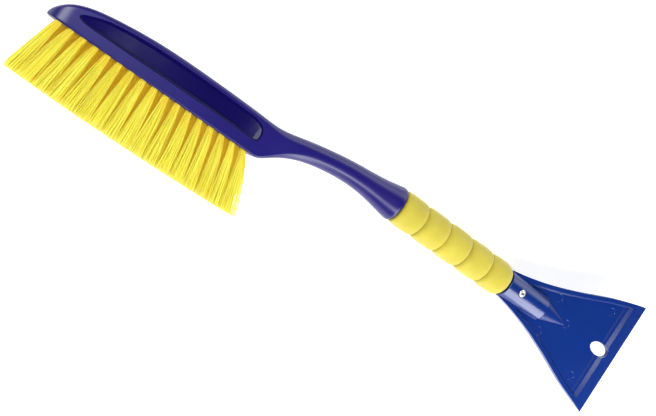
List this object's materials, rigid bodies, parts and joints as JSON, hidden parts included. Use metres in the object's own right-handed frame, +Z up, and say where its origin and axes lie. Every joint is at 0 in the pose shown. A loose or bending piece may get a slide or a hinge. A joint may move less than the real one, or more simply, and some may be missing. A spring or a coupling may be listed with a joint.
{
  "type": "windshield snow brush and ice scraper",
  "caption": "One-piece brush head, curved neck and handle stem with rows of bristle tufts, a lobed foam grip, and a flared scraper blade riveted on by its socket.",
  "frame": {"origin": "centre of the footprint, on the surface that the tool lies on, side down", "axes": "+X along the handle from the brush to the blade, +Y towards the back of the brush, away from the bristles, +Z up out of the flat of the blade"},
  "size_m": [0.5522, 0.137, 0.03],
  "materials": {
    "brush_plastic": "moulded violet-blue plastic, semi-gloss",
    "scraper_plastic": "moulded royal-blue plastic, glossy, with faint moulding marks",
    "bristle": "lemon-yellow monofilament bristle, slightly translucent",
    "foam": "fine closed-cell foam, matt lemon yellow",
    "rivet_aluminium": "bright pressed aluminium",
    "rivet_steel": "dull broken-off steel",
    "staple_metal": "flat drawn steel wire"
  },
  "bodies": {
    "root": {"brush_body": "brush_plastic", "foam_grip": "foam", "rivet_body": "rivet_aluminium", "rivet_mandrel": "rivet_steel", "scraper": "scraper_plastic", "tuft_row1_01": "bristle", "tuft_row1_02": "bristle", "tuft_row1_03": "bristle", "tuft_row1_04": "bristle", "tuft_row1_05": "bristle", "tuft_row1_06": "bristle", "tuft_row1_07": "bristle", "tuft_row1_08": "bristle", "tuft_row1_09": "bristle", "tuft_row1_10": "bristle", "tuft_row1_11": "bristle", "tuft_row1_12": "bristle", "tuft_row1_13": "bristle", "tuft_row1_14": "bristle", "tuft_row1_15": "bristle", "tuft_row1_16": "bristle", "tuft_row1_17": "bristle", "tuft_row2_01": "bristle", "tuft_row2_02": "bristle", "tuft_row2_03": "bristle", "tuft_row2_04": "bristle", "tuft_row2_05": "bristle", "tuft_row2_06": "bristle", "tuft_row2_07": "bristle", "tuft_row2_08": "bristle", "tuft_row2_09": "bristle", "tuft_row2_10": "bristle", "tuft_row2_11": "bristle", "tuft_row2_12": "bristle", "tuft_row2_13": "bristle", "tuft_row2_14": "bristle", "tuft_row2_15": "bristle", "tuft_row2_16": "bristle", "tuft_row3_01": "bristle", "tuft_row3_02": "bristle", "tuft_row3_03": "bristle", "tuft_row3_04": "bristle", "tuft_row3_05": "bristle", "tuft_row3_06": "bristle", "tuft_row3_07": "bristle", "tuft_row3_08": "bristle", "tuft_row3_09": "bristle", "tuft_row3_10": "bristle", "tuft_row3_11": "bristle", "tuft_row3_12": "bristle", "tuft_row3_13": "bristle", "tuft_row3_14": "bristle", "tuft_row3_15": "bristle", "tuft_row3_16": "bristle", "tuft_row3_17": "bristle"}
  },
  "joints": []
}
